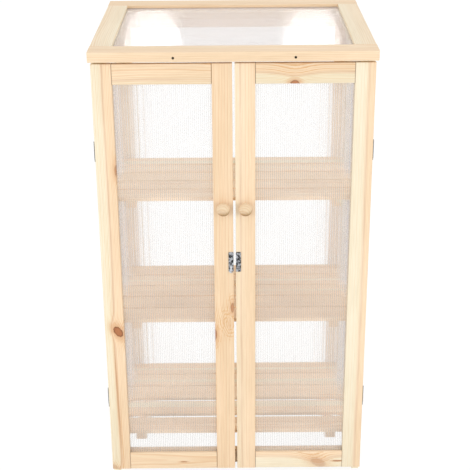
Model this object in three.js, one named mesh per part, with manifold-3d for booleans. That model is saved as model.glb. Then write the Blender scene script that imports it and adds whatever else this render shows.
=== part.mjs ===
// Wooden mini greenhouse: a cabinet of framed twin-wall sheets with two doors, a sloping lid
// that lifts at the front, and slatted shelves. Millimetres, +Z up, the doors face -Y.

import * as THREE from 'three';
import { mergeGeometries, mergeVertices } from 'three/addons/utils/BufferGeometryUtils.js';
import Module from 'manifold-3d';

const wasm = await Module();
wasm.setup();

// Cabinet, measured over the frames
const cabinetWidth = 690;
const cabinetDepth = 488;
const doorHeight = 1133;
const floorClearance = 18;

// Timber stock of the doors, sides and back
const frameWidth = 50;
const frameThickness = 20;
const edgeRadius = 1.5;
const easeSegments = 2;

// Groove-and-tongue joints that hold the sheets
const grooveDepth = 8;
const sheetPlay = 1;
const fitGap = 0.3;

// Twin-wall sheet
const sheetThickness = 4;
const sheetWall = 0.5;
const sheetRib = 0.7;
const flutePitch = 10;

// Lid
const lidSlopeDegrees = 8;
const lidThickness = 25;
const lidMemberWidth = 54;
const lidSheetTopDrop = 8;
const lidSideOverhang = 5;
const lidFrontOverhang = 8;
const lidDoorGap = 5;

// Doors
const doorMeetingGap = 6;
const doorHangGap = 0.5;

// Bottom rails of the cabinet, above the floor, and the narrower one behind the doors
const bottomRailRise = 27;
const frontRailRise = 23;
const frontRailWidth = 40;

// Shelves
const shelfCount = 3;
const lowestShelfTop = 106;
const shelfSpacing = 345;
const shelfFrontSetback = 35;
const shelfRearPlay = 26.5;
const shelfSidePlay = 2;
const slatsPerShelf = 5;
const slatThickness = 10;
const slatGap = 9;
const lowerShelfGaps = [21, 19.5, 4.5, 4.5];
const battenWidth = 28;
const battenHeight = 18;
const battenInset = 42;
const cleatWidth = 20;
const cleatHeight = 20;

// Turned knobs
const knobRadius = 17.5;
const knobProjection = 29;
const knobNeckRadius = 8;
const knobNeckLength = 7;
const knobFootRadius = 10.5;
const knobFootThickness = 2.5;
const knobSpigotRadius = 5;
const knobSpigotLength = 10;
const knobAboveDoorFoot = 768;
const knobFacets = 24;
const knobArcSteps = 8;

// Butt hinges of the doors and the lid
const hingeLength = 48;
const hingeLeafWidth = 15;
const hingeLeafThickness = 1.2;
const hingeKnuckleRadius = 2.2;
const hingePinRadius = 1;
const hingeRunningGap = 0.3;
const hingeKnuckles = 3;
const hingeFacets = 16;
const doorHingeFromEnd = 220;
const lidHingeFromEnd = 150;

// Swing-hook latch
const latchPlateWidth = 13;
const latchPlateHeight = 54;
const latchPlateThickness = 1.5;
const latchPlateCornerRadius = 2.5;
const latchCentreAboveDoorFoot = 620;
const latchPivotBelowCentre = 4;
const latchPinRadius = 1.8;
const latchPinHeadRadius = 3;
const latchPinHeadThickness = 0.9;
const latchHookThickness = 1.4;
const latchHookEyeRadius = 4;
const latchHookArmWidth = 4.2;
const latchRunningGap = 0.3;
const latchStudRadius = 1.7;
const latchStudDrop = 10;
const latchStudClearance = 0.7;
const latchStudStandOff = 1;
const latchClawWall = 2.2;
const latchFacets = 20;

// How far a cutting solid runs past what it cuts, and how deep a joined piece sinks in
const cutOverrun = 5;
const joinDepth = 1;
const weldTolerance = 1e-4;

// Sizes worked out from the ones above
const lidSlope = THREE.MathUtils.degToRad(lidSlopeDegrees);
const lidWidth = cabinetWidth + 2 * lidSideOverhang;
const lidRun = (cabinetDepth + lidFrontOverhang) / Math.cos(lidSlope);
const doorTop = floorClearance + doorHeight;
const lidFrontUnderside = doorTop + lidDoorGap;
const doorWidth = (cabinetWidth - doorMeetingGap) / 2;
const grooveWidth = sheetThickness + 2 * fitGap;
const tongueLength = grooveDepth - 2 * fitGap;
const tongueThickness = grooveWidth - 2 * fitGap;
const frameGrooveCentre = frameThickness / 2;
const lidGrooveCentre = lidThickness - lidSheetTopDrop - sheetThickness / 2;
const sideFrontY = frameThickness + doorHangGap;
const backFrontY = cabinetDepth - frameThickness;
const sideDepth = backFrontY - fitGap - sideFrontY;
const innerWidth = cabinetWidth - 2 * frameThickness;

// Height of the lid's underside over a place in the cabinet's depth
function lidUndersideAt(y) {
  return lidFrontUnderside + (y + lidFrontOverhang) * Math.tan(lidSlope);
}

const pine = new THREE.MeshStandardMaterial({ color: 0xecc995, roughness: 0.68, metalness: 0 });
const sheetPlastic = new THREE.MeshStandardMaterial({
  color: 0xf1f3f4, roughness: 0.22, metalness: 0, transparent: true, opacity: 0.45,
});
const darkSteel = new THREE.MeshStandardMaterial({ color: 0x4d4f50, roughness: 0.45, metalness: 0.9 });
const brightZinc = new THREE.MeshStandardMaterial({ color: 0xb9bdc0, roughness: 0.3, metalness: 1 });

function piece(name, geometry, material) {
  const mesh = new THREE.Mesh(geometry, material.clone());
  mesh.name = name;
  return mesh;
}

// Solid modelling

function toSolid(geometry) {
  const bare = geometry.index ? geometry.toNonIndexed() : geometry.clone();
  bare.deleteAttribute('normal');
  bare.deleteAttribute('uv');
  const welded = mergeVertices(bare, weldTolerance);
  return new wasm.Manifold(new wasm.Mesh({
    numProp: 3,
    vertProperties: new Float32Array(welded.attributes.position.array),
    triVerts: new Uint32Array(welded.index.array),
  }));
}

function toGeometry(solid) {
  const mesh = solid.getMesh();
  const geometry = new THREE.BufferGeometry();
  geometry.setAttribute('position', new THREE.BufferAttribute(mesh.vertProperties, 3));
  geometry.setIndex(new THREE.BufferAttribute(mesh.triVerts, 1));
  const faceted = geometry.toNonIndexed();
  faceted.computeVertexNormals();
  return faceted;
}

function joined(...geometries) {
  return toGeometry(geometries.map(toSolid).reduce((whole, next) => whole.add(next)));
}

function cut(geometry, ...cutters) {
  const whole = toSolid(geometry);
  return toGeometry(cutters.map(toSolid).reduce((rest, cutter) => rest.subtract(cutter), whole));
}

// A box between two corners
function block(low, high) {
  const size = high.map((value, axis) => value - low[axis]);
  const centre = high.map((value, axis) => (value + low[axis]) / 2);
  return new THREE.BoxGeometry(...size).translate(...centre);
}

function extrude(shape, depth) {
  return new THREE.ExtrudeGeometry(shape, { depth, bevelEnabled: false, curveSegments: easeSegments });
}

// A round bar along z that starts at height from
function bar(radius, from, to, facets) {
  const geometry = new THREE.CylinderGeometry(radius, radius, to - from, facets);
  return geometry.rotateX(Math.PI / 2).translate(0, 0, (from + to) / 2);
}

// Timber

// Section of a board with eased edges: width along x, thickness along y. A board that
// holds a sheet has a groove in its edge at x = width.
function boardSection(width, thickness, grooveCentre) {
  const r = edgeRadius;
  const shape = new THREE.Shape();
  shape.moveTo(r, 0);
  shape.lineTo(width - r, 0);
  shape.absarc(width - r, r, r, -Math.PI / 2, 0, false);
  if (grooveCentre !== undefined) {
    shape.lineTo(width, grooveCentre - grooveWidth / 2);
    shape.lineTo(width - grooveDepth, grooveCentre - grooveWidth / 2);
    shape.lineTo(width - grooveDepth, grooveCentre + grooveWidth / 2);
    shape.lineTo(width, grooveCentre + grooveWidth / 2);
  }
  shape.absarc(width - r, thickness - r, r, 0, Math.PI / 2, false);
  shape.absarc(r, thickness - r, r, Math.PI / 2, Math.PI, false);
  shape.absarc(r, r, r, Math.PI, 1.5 * Math.PI, false);
  return shape;
}

function board(length, width, thickness, grooveCentre) {
  return extrude(boardSection(width, thickness, grooveCentre), length);
}

// A grooved rail with a stub tongue at each end, for the grooves of the members it joins
function tonguedRail(length, width, thickness, grooveCentre) {
  const tongueLow = grooveCentre - tongueThickness / 2;
  const tongueHigh = grooveCentre + tongueThickness / 2;
  const tongueEdge = width - grooveDepth - fitGap;
  return joined(
    board(length, width, thickness, grooveCentre),
    block([edgeRadius, tongueLow, -tongueLength], [tongueEdge, tongueHigh, joinDepth]),
    block([edgeRadius, tongueLow, length - joinDepth], [tongueEdge, tongueHigh, length + tongueLength]),
  );
}

// Twin-wall sheet: two skins joined by ribs, with the flutes open along z
function twinWallSheet(width, length) {
  const count = Math.floor((width - sheetRib) / flutePitch);
  const margin = (width - count * flutePitch + sheetRib) / 2;
  const flutes = [];
  for (let index = 0; index < count; index += 1) {
    const left = margin + index * flutePitch;
    flutes.push(block(
      [left, sheetWall, -cutOverrun],
      [left + flutePitch - sheetRib, sheetThickness - sheetWall, length + cutOverrun],
    ));
  }
  return cut(block([0, 0, 0], [width, sheetThickness, length]), mergeGeometries(flutes));
}

// The pieces of one framed sheet, lying in x (span) and z (run) with its face at y = 0: two
// through members along z, two tongued rails between them, and the sheet in their grooves.
// railFoot and railTop are the outer edges of the two rails.
function framedSheet({ span, run, width, thickness, grooveCentre, railFoot, railTop }) {
  const railLength = span - 2 * width - 2 * fitGap;
  const sheetWidth = span - 2 * width + 2 * (grooveDepth - sheetPlay);
  const sheetFoot = railFoot + width - grooveDepth + sheetPlay;
  const sheetTop = railTop - width + grooveDepth - sheetPlay;
  const near = board(run, width, thickness, grooveCentre);
  const far = board(run, width, thickness, thickness - grooveCentre);
  far.rotateZ(Math.PI).translate(span, thickness, 0);
  const footRail = tonguedRail(railLength, width, thickness, grooveCentre);
  footRail.rotateY(-Math.PI / 2).translate(span - width - fitGap, 0, railFoot);
  const topRail = tonguedRail(railLength, width, thickness, grooveCentre);
  topRail.rotateY(Math.PI / 2).translate(width + fitGap, 0, railTop);
  const sheet = twinWallSheet(sheetWidth, sheetTop - sheetFoot);
  sheet.translate(width - grooveDepth + sheetPlay, grooveCentre - sheetThickness / 2, sheetFoot);
  return { near, far, footRail, topRail, sheet };
}

// Turns x, y, z of a frame to the cabinet's y, z, x
const layFlat = new THREE.Matrix4().makeBasis(
  new THREE.Vector3(0, 1, 0),
  new THREE.Vector3(0, 0, 1),
  new THREE.Vector3(1, 0, 0),
);

// Everything above a slope that lies the given drop under the lid, in cabinet places
function spaceAboveSlope(drop) {
  const frontY = -lidFrontOverhang - cutOverrun;
  const rearY = cabinetDepth + cutOverrun;
  const ceiling = lidUndersideAt(rearY) + lidThickness;
  const shape = new THREE.Shape();
  shape.moveTo(frontY, lidUndersideAt(frontY) - drop);
  shape.lineTo(rearY, lidUndersideAt(rearY) - drop);
  shape.lineTo(rearY, ceiling);
  shape.lineTo(frontY, ceiling);
  const reach = cabinetWidth + 2 * cutOverrun;
  return extrude(shape, reach).translate(0, 0, -reach / 2).applyMatrix4(layFlat);
}

// Cuts a piece of a placed frame along that slope
function trimmedUnderLid(geometry, drop, placement) {
  const cutter = spaceAboveSlope(drop).applyMatrix4(placement.clone().invert());
  return cut(geometry, cutter);
}

function placedGroup(placement) {
  const group = new THREE.Group();
  placement.decompose(group.position, group.quaternion, group.scale);
  return group;
}

// Sides: two legs, a rail near the floor, a rail along the slope, and a sheet

function sideFrame(side, faceX) {
  const placement = new THREE.Matrix4().makeRotationZ(Math.PI / 2);
  placement.setPosition(faceX, sideFrontY, 0);
  const rearTop = lidUndersideAt(backFrontY);
  const frame = framedSheet({
    span: sideDepth,
    run: rearTop,
    width: frameWidth,
    thickness: frameThickness,
    grooveCentre: frameGrooveCentre,
    railFoot: bottomRailRise,
    railTop: rearTop,
  });
  const slope = new THREE.Matrix4().set(1, 0, 0, 0, 0, 1, 0, 0, Math.tan(lidSlope), 0, 1, 0, 0, 0, 0, 1);
  const railTopAtFront = lidUndersideAt(sideFrontY) - fitGap;
  const slopedRail = frame.topRail.translate(0, 0, -rearTop).applyMatrix4(slope);
  slopedRail.translate(0, 0, railTopAtFront);
  const sheetDrop = fitGap + frameWidth - grooveDepth + sheetPlay;
  const group = placedGroup(placement);
  group.add(
    piece(`${side}_front_leg`, trimmedUnderLid(frame.near, fitGap, placement), pine),
    piece(`${side}_rear_leg`, trimmedUnderLid(frame.far, fitGap, placement), pine),
    piece(`${side}_bottom_rail`, frame.footRail, pine),
    piece(`${side}_top_rail`, slopedRail, pine),
    piece(`${side}_sheet`, trimmedUnderLid(frame.sheet, sheetDrop, placement), sheetPlastic),
  );
  return group;
}

// Back: a framed sheet over the rear edges of the sides, its top bevelled to the slope

function backFrame() {
  const placement = new THREE.Matrix4().makeTranslation(-cabinetWidth / 2, backFrontY, 0);
  const frame = framedSheet({
    span: cabinetWidth,
    run: lidUndersideAt(cabinetDepth),
    width: frameWidth,
    thickness: frameThickness,
    grooveCentre: frameGrooveCentre,
    railFoot: bottomRailRise,
    railTop: lidUndersideAt(cabinetDepth),
  });
  const group = placedGroup(placement);
  group.add(
    piece('back_left_stile', trimmedUnderLid(frame.near, fitGap, placement), pine),
    piece('back_right_stile', trimmedUnderLid(frame.far, fitGap, placement), pine),
    piece('back_bottom_rail', frame.footRail, pine),
    piece('back_top_rail', trimmedUnderLid(frame.topRail, fitGap, placement), pine),
    piece('back_sheet', frame.sheet, sheetPlastic),
  );
  return group;
}

// Rail across the front, behind the doors
function frontBottomRail() {
  const length = innerWidth - 2 * fitGap;
  const rail = piece('front_bottom_rail', board(length, frontRailWidth, frameThickness), pine);
  rail.rotation.y = -Math.PI / 2;
  rail.position.set(length / 2, sideFrontY, frontRailRise);
  return rail;
}

// Shelves: slats across the cabinet on two battens, resting on cleats along the sides

const shelfNames = ['lower', 'middle', 'upper'];
const shelfWidth = innerWidth - 2 * shelfSidePlay;
const shelfFrontY = sideFrontY + shelfFrontSetback;
const shelfDepth = backFrontY - shelfRearPlay - shelfFrontY;
const slatWidth = (shelfDepth - (slatsPerShelf - 1) * slatGap) / slatsPerShelf;

// The gaps run from the front slat to the rear one
function slattedShelf(name, gaps) {
  const slats = [];
  let front = 0;
  let rear = 0;
  for (let index = 0; index < slatsPerShelf; index += 1) {
    const slat = board(shelfWidth, slatWidth, slatThickness);
    slat.applyMatrix4(layFlat).translate(-shelfWidth / 2, front, -slatThickness);
    slats.push(slat);
    rear = front + slatWidth;
    front = rear + (gaps[index] ?? slatGap);
  }
  const battenOuter = shelfWidth / 2 - battenInset;
  const battenEnds = edgeRadius;
  const battens = [-battenOuter, battenOuter - battenWidth].map((left) => block(
    [left, battenEnds, -slatThickness - battenHeight],
    [left + battenWidth, rear - battenEnds, -slatThickness + joinDepth],
  ));
  return piece(`${name}_shelf`, joined(...battens, ...slats), pine);
}

// A cleat along a side, from behind the front bottom rail to the back
function cleat(name, left) {
  const length = sideDepth - frameThickness - fitGap;
  const rail = piece(name, board(length, cleatWidth, cleatHeight), pine);
  rail.rotation.x = Math.PI / 2;
  rail.position.set(left, sideFrontY + sideDepth, 0);
  return rail;
}

function shelves() {
  const group = new THREE.Group();
  for (let index = 0; index < shelfCount; index += 1) {
    const name = shelfNames[index] ?? `shelf_${index}`;
    const top = lowestShelfTop + index * shelfSpacing;
    const level = new THREE.Group();
    level.position.z = top;
    const shelf = slattedShelf(name, index === 0 ? lowerShelfGaps : []);
    shelf.position.y = shelfFrontY;
    const cleatFoot = -slatThickness - fitGap - cleatHeight;
    const leftCleat = cleat(`${name}_left_cleat`, -innerWidth / 2 + fitGap);
    const rightCleat = cleat(`${name}_right_cleat`, innerWidth / 2 - fitGap - cleatWidth);
    leftCleat.position.z = cleatFoot;
    rightCleat.position.z = cleatFoot;
    level.add(shelf, leftCleat, rightCleat);
    group.add(level);
  }
  return group;
}

// Doors

// A turned knob along -y, its foot on y = 0 and its spigot behind it
function knobGeometry() {
  const neckAngle = Math.asin(knobNeckRadius / knobRadius);
  const points = [
    new THREE.Vector2(0, -knobSpigotLength),
    new THREE.Vector2(knobSpigotRadius, -knobSpigotLength),
    new THREE.Vector2(knobSpigotRadius, fitGap),
    new THREE.Vector2(knobFootRadius, fitGap),
    new THREE.Vector2(knobFootRadius, fitGap + knobFootThickness / 2),
    new THREE.Vector2(knobNeckRadius, fitGap + knobFootThickness),
  ];
  const flattening = (knobProjection - knobNeckLength) / (knobRadius * (1 + Math.cos(neckAngle)));
  for (let step = 0; step <= knobArcSteps; step += 1) {
    const angle = neckAngle + (Math.PI - neckAngle) * (step / knobArcSteps);
    const radius = step === knobArcSteps ? 0 : knobRadius * Math.sin(angle);
    const rise = knobRadius * (Math.cos(neckAngle) - Math.cos(angle));
    points.push(new THREE.Vector2(radius, knobNeckLength + rise * flattening));
  }
  return new THREE.LatheGeometry(points, knobFacets).rotateX(Math.PI);
}

function knobbedStile(geometry, centreX) {
  const bore = bar(knobSpigotRadius + fitGap, -cutOverrun, knobSpigotLength + fitGap, knobFacets);
  bore.rotateX(-Math.PI / 2).translate(centreX, 0, knobAboveDoorFoot);
  return cut(geometry, bore);
}

function door(side, leftX) {
  const frame = framedSheet({
    span: doorWidth,
    run: doorHeight,
    width: frameWidth,
    thickness: frameThickness,
    grooveCentre: frameGrooveCentre,
    railFoot: 0,
    railTop: doorHeight,
  });
  const isLeft = side === 'left';
  const knobX = isLeft ? doorWidth - frameWidth / 2 : frameWidth / 2;
  const outer = isLeft ? frame.near : frame.far;
  const meeting = knobbedStile(isLeft ? frame.far : frame.near, knobX);
  const knob = piece(`${side}_knob`, knobGeometry(), pine);
  knob.position.set(knobX, 0, knobAboveDoorFoot);
  const group = new THREE.Group();
  group.position.set(leftX, 0, floorClearance);
  group.add(
    piece(`${side}_door_outer_stile`, outer, pine),
    piece(`${side}_door_meeting_stile`, meeting, pine),
    piece(`${side}_door_bottom_rail`, frame.footRail, pine),
    piece(`${side}_door_top_rail`, frame.topRail, pine),
    piece(`${side}_door_sheet`, frame.sheet, sheetPlastic),
    knob,
  );
  return group;
}

// Lid: front and rear rails run the full width, with the stiles between them

function lid() {
  const frame = framedSheet({
    span: lidRun,
    run: lidWidth,
    width: lidMemberWidth,
    thickness: lidThickness,
    grooveCentre: lidGrooveCentre,
    railFoot: 0,
    railTop: lidWidth,
  });
  const flat = placedGroup(layFlat);
  flat.add(
    piece('lid_front_rail', frame.near, pine),
    piece('lid_rear_rail', frame.far, pine),
    piece('lid_left_stile', frame.footRail, pine),
    piece('lid_right_stile', frame.topRail, pine),
    piece('lid_sheet', frame.sheet, sheetPlastic),
  );
  const group = new THREE.Group();
  group.position.set(-lidWidth / 2, -lidFrontOverhang, lidFrontUnderside);
  group.rotation.x = lidSlope;
  group.add(flat);
  return group;
}

// Butt hinges. The pin lies on z, the timber is on the +x side, and a leaf reaches along
// -y or +y. Its plate touches the knuckles' side that faces the timber.

const hingeAxisOut = hingeKnuckleRadius + fitGap;
const knuckleLength = hingeLength / hingeKnuckles;

function isMovingKnuckle(index) {
  return index % 2 === 1;
}

function hingeLeaf(moving) {
  const reach = moving ? -1 : 1;
  const plateInner = hingeKnuckleRadius + hingeRunningGap;
  const plateX = [hingeKnuckleRadius - hingeLeafThickness, hingeKnuckleRadius];
  const plateEnds = [reach * plateInner, reach * (hingeAxisOut + hingeLeafWidth)].sort((a, b) => a - b);
  const neckEnds = [0, reach * (plateInner + joinDepth)].sort((a, b) => a - b);
  const half = hingeLength / 2;
  const halfGap = hingeRunningGap / 2;
  const last = hingeKnuckles - 1;
  const solids = [block([plateX[0], plateEnds[0], -half], [plateX[1], plateEnds[1], half])];
  for (let index = 0; index < hingeKnuckles; index += 1) {
    if (isMovingKnuckle(index) === moving) {
      const low = -half + index * knuckleLength + (index > 0 ? halfGap : 0);
      const high = -half + (index + 1) * knuckleLength - (index < last ? halfGap : 0);
      solids.push(block([plateX[0], neckEnds[0], low], [plateX[1], neckEnds[1], high]));
      solids.push(bar(hingeKnuckleRadius, low, high, hingeFacets));
    }
  }
  if (moving) {
    const reachPastEnds = half + cutOverrun;
    const bore = bar(hingePinRadius + hingeRunningGap, -reachPastEnds, reachPastEnds, hingeFacets);
    return cut(joined(...solids), bore);
  }
  return joined(...solids, bar(hingePinRadius, -half, half, hingeFacets));
}

function hinge(name, axisPlacement, movingTilt) {
  const group = placedGroup(axisPlacement);
  const moving = piece(`${name}_moving_leaf`, hingeLeaf(true), darkSteel);
  moving.rotation.z = movingTilt;
  group.add(moving, piece(`${name}_fixed_leaf`, hingeLeaf(false), darkSteel));
  return group;
}

const doorHingeY = frameThickness + doorHangGap / 2;
const doorHingeX = cabinetWidth / 2 + hingeAxisOut;
const lidHingeY = cabinetDepth + hingeAxisOut;
const lidHingeZ = lidUndersideAt(cabinetDepth) + hingeAxisOut * Math.tan(lidSlope / 2);

function doorHinges(side) {
  const group = new THREE.Group();
  const heights = {
    lower: floorClearance + doorHingeFromEnd,
    upper: doorTop - doorHingeFromEnd,
  };
  for (const [level, height] of Object.entries(heights)) {
    const placement = new THREE.Matrix4();
    if (side === 'right') {
      placement.makeRotationY(Math.PI);
    }
    placement.setPosition(side === 'left' ? -doorHingeX : doorHingeX, doorHingeY, height);
    group.add(hinge(`${side}_door_${level}_hinge`, placement, 0));
  }
  return group;
}

function lidHinges() {
  const group = new THREE.Group();
  const places = {
    left: -cabinetWidth / 2 + lidHingeFromEnd,
    right: cabinetWidth / 2 - lidHingeFromEnd,
  };
  for (const [side, x] of Object.entries(places)) {
    const placement = new THREE.Matrix4().makeBasis(
      new THREE.Vector3(0, -1, 0),
      new THREE.Vector3(0, 0, -1),
      new THREE.Vector3(1, 0, 0),
    );
    placement.setPosition(x, lidHingeY, lidHingeZ);
    group.add(hinge(`lid_${side}_hinge`, placement, lidSlope));
  }
  return group;
}

// Latch: a hook on the left door's plate that hangs down when open and swings up over a
// stud on the right door's plate. Drawn in the door's face: x across, y up, z out.

const latchPlateCentreX = doorMeetingGap / 2 + latchPlateWidth / 2;
const latchStudAcross = 2 * latchPlateCentreX;
const latchReach = Math.hypot(latchStudAcross, latchStudDrop);
const latchHookBase = latchPlateThickness + latchRunningGap;
const latchStudTop = latchHookBase + latchHookThickness + latchStudStandOff;

function latchPlate() {
  const r = latchPlateCornerRadius;
  const halfWidth = latchPlateWidth / 2;
  const halfHeight = latchPlateHeight / 2;
  const shape = new THREE.Shape();
  shape.absarc(halfWidth - r, halfHeight - r, r, 0, Math.PI / 2, false);
  shape.absarc(r - halfWidth, halfHeight - r, r, Math.PI / 2, Math.PI, false);
  shape.absarc(r - halfWidth, r - halfHeight, r, Math.PI, 1.5 * Math.PI, false);
  shape.absarc(halfWidth - r, r - halfHeight, r, 1.5 * Math.PI, 2 * Math.PI, false);
  return extrude(shape, latchPlateThickness);
}

function pivotPlate() {
  const headFoot = latchHookBase + latchHookThickness + latchRunningGap;
  const pin = bar(latchPinRadius, 0, headFoot + latchPinHeadThickness, latchFacets);
  const head = bar(latchPinHeadRadius, headFoot, headFoot + latchPinHeadThickness, latchFacets);
  const rivet = joined(pin, head).translate(0, -latchPivotBelowCentre, 0);
  return joined(latchPlate(), rivet);
}

function keeperPlate() {
  const stud = bar(latchStudRadius, 0, latchStudTop, latchFacets);
  return joined(latchPlate(), stud.translate(0, -latchPivotBelowCentre - latchStudDrop, 0));
}

// The hook about its pivot, hanging along -y, its claw open to +x
function hookGeometry() {
  const slotHalf = latchStudRadius + latchStudClearance;
  const clawRadius = slotHalf + latchClawWall;
  const top = latchHookThickness;
  const eye = bar(latchHookEyeRadius, 0, top, latchFacets);
  const claw = bar(clawRadius, 0, top, latchFacets).translate(0, -latchReach, 0);
  const arm = block([-latchHookArmWidth / 2, -latchReach, 0], [latchHookArmWidth / 2, 0, top]);
  const pivotHole = bar(latchPinRadius + latchRunningGap, -cutOverrun, top + cutOverrun, latchFacets);
  const slotEnd = bar(slotHalf, -cutOverrun, top + cutOverrun, latchFacets).translate(0, -latchReach, 0);
  const slot = block(
    [0, -latchReach - slotHalf, -cutOverrun],
    [clawRadius + cutOverrun, -latchReach + slotHalf, top + cutOverrun],
  );
  return cut(joined(eye, arm, claw), pivotHole, slotEnd, slot);
}

function latch() {
  const group = new THREE.Group();
  group.position.set(0, -fitGap, floorClearance + latchCentreAboveDoorFoot);
  group.rotation.x = Math.PI / 2;
  const plate = piece('latch_pivot_plate', pivotPlate(), brightZinc);
  plate.position.x = -latchPlateCentreX;
  const keeper = piece('latch_keeper_plate', keeperPlate(), brightZinc);
  keeper.position.x = latchPlateCentreX;
  const hook = piece('latch_hook', hookGeometry(), brightZinc);
  hook.position.set(-latchPlateCentreX, -latchPivotBelowCentre, latchHookBase);
  group.add(plate, keeper, hook);
  return group;
}

// The whole greenhouse, centred over its footprint

const greenhouse = new THREE.Group();
greenhouse.add(
  sideFrame('left', -innerWidth / 2),
  sideFrame('right', cabinetWidth / 2),
  backFrame(),
  frontBottomRail(),
  shelves(),
  door('left', -cabinetWidth / 2),
  door('right', doorMeetingGap / 2),
  lid(),
  doorHinges('left'),
  doorHinges('right'),
  lidHinges(),
  latch(),
);
greenhouse.updateMatrixWorld(true);
const footprint = new THREE.Box3().setFromObject(greenhouse, true);
greenhouse.position.y = -(footprint.min.y + footprint.max.y) / 2;
greenhouse.updateMatrixWorld(true);

export default greenhouse;
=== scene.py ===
"""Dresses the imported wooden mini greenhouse: pine boards, twin-wall sheets, knobs and fittings."""

import math
import random
from typing import NamedTuple

import bmesh
import bpy
from bpy.props import FloatProperty, FloatVectorProperty, IntProperty, PointerProperty
from mathutils import Matrix, Vector


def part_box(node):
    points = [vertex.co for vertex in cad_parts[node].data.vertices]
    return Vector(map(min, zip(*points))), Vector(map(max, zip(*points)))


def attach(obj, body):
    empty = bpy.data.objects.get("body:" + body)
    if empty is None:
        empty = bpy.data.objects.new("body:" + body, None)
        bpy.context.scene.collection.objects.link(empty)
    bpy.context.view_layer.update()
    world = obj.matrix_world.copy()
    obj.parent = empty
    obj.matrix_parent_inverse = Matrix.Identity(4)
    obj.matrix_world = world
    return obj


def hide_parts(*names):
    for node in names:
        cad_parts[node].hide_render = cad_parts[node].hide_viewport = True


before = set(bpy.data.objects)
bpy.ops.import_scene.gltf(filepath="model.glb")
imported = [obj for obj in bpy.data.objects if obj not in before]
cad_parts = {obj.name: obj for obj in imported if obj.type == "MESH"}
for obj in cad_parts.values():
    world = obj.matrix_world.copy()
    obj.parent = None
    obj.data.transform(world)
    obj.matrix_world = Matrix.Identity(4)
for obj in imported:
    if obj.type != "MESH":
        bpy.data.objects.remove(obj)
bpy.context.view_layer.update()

bl_info = {
    "name": "Wooden Mini Greenhouse",
    "version": (1, 0, 0),
    "blender": (4, 5, 0),
    "location": "3D View > Sidebar > Greenhouse",
    "description": "Finishes and small pieces of a pine cabinet greenhouse around its packed frame",
    "category": "Object",
}

MM = 0.001
FAR = 99.0
WHITE = (1, 1, 1)

# Directions of the cabinet, and along its lid
RIGHT = Vector((1, 0, 0))
BACK = Vector((0, 1, 0))
UP = Vector((0, 0, 1))
LID_SLOPE = math.radians(8)
UPHILL = Vector((0, math.cos(LID_SLOPE), math.sin(LID_SLOPE)))


def colour_property(name, description, *channels):
    """A colour as a screen shows it, 0 to 255, kept in the linear values that shaders take."""
    shares = [channel / 255 for channel in channels]
    linear = [s / 12.92 if s <= 0.04045 else ((s + 0.055) / 1.055) ** 2.4 for s in shares]
    return FloatVectorProperty(
        name=name, description=description, default=linear, subtype="COLOR", size=3, min=0, max=1
    )


def number_property(name, description, value, **settings):
    return FloatProperty(name=name, description=description, default=value, **settings)


def length_property(name, description, value):
    return number_property(name, description, value, min=0, unit="LENGTH")


def share_property(name, description, value):
    return number_property(name, description, value, min=0, max=1)


class GreenhouseTimber(bpy.types.PropertyGroup):
    """Colours and grain of the pine."""

    sapwood: colour_property("Sapwood", "Pale outer wood", 241, 230, 206)
    sapwood_late: colour_property("Sapwood late rings", "Ring lines in the pale wood", 232, 207, 163)
    heartwood: colour_property("Heartwood", "Warm inner wood", 243, 219, 188)
    heartwood_late: colour_property("Heartwood late rings", "Ring lines in the warm wood", 228, 186, 140)
    knot: colour_property("Knot", "Knot wood", 188, 122, 82)
    knot_rim: colour_property("Knot rim", "Dark bark round a knot", 104, 64, 42)
    ring_spacing: length_property("Ring spacing", "Distance between year rings", 3.6 * MM)
    roughness: share_property("Roughness", "Roughness of planed pine", 0.55)


class GreenhouseSheet(bpy.types.PropertyGroup):
    """Section and finish of the twin-wall sheets."""

    colour: colour_property("Sheet", "Colour of the plastic", 250, 249, 247)
    edge_colour: colour_property("Sheet edge on", "Colour where seen along the sheet", 252, 245, 250)
    haze: share_property("Haze", "Share of light each face holds back", 0.022)
    rib_haze: share_property("Rib haze", "The same over a rib", 0.1)
    door_haze: share_property("Door haze", "Haze of the door sheets", 0.06)
    door_rib_haze: share_property("Door rib haze", "The same over a rib", 0.17)
    waver: share_property("Waver", "How far the flutes tilt the surface sideways", 0.42)
    pitch: length_property("Rib pitch", "Distance between ribs", 5 * MM)
    rib: length_property("Rib", "Thickness of a rib", 0.6 * MM)
    wall: length_property("Wall", "Thickness of each wall", 0.5 * MM)


class GreenhouseFittings(bpy.types.PropertyGroup):
    """Colours of the metal and sizes of the screws."""

    steel: colour_property("Hinge steel", "Browned steel of the hinges", 96, 96, 96)
    # Painted reflection: the zinc is set darker, standing in for the dark surroundings that the latch
    # plates mirror
    zinc: colour_property("Latch zinc", "Dulled plating of the latch plates", 140, 142, 146)
    hook: colour_property("Latch hook", "Brighter plating of the hook", 196, 199, 203)
    black: colour_property("Black screws", "Blackened screws of the lid", 10, 8, 6)
    lid_screw: length_property("Lid screw head", "Radius of a head on the lid", 3.1 * MM)
    hinge_screw: length_property("Hinge screw head", "Radius of a head on a hinge", 2.3 * MM)
    latch_screw: length_property("Latch screw head", "Radius of a head on the latch", 2.5 * MM)
    frame_screw: length_property("Frame screw head", "Radius of a head in the back frame", 3.5 * MM)


class GreenhouseStage(bpy.types.PropertyGroup):
    """Light, floor and camera."""

    sky: number_property("Sky light", "Strength of the even light", 0.9, min=0)
    key: number_property("Front lights", "Brightness of each front softbox", 5.4, min=0)
    rear: number_property("Rear lights", "Brightness of each rear softbox", 7.5, min=0)
    floor: colour_property("Floor", "Colour of the floor", 238, 237, 235)
    focal_length: number_property("Focal length", "Lens in millimetres", 71.2, min=1)
    shift: number_property("Shift", "Vertical shift of the lens", -0.0447)
    facets: IntProperty(name="Turned facets", description="Steps round a turned piece", default=64, min=8)


# Node trees

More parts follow.
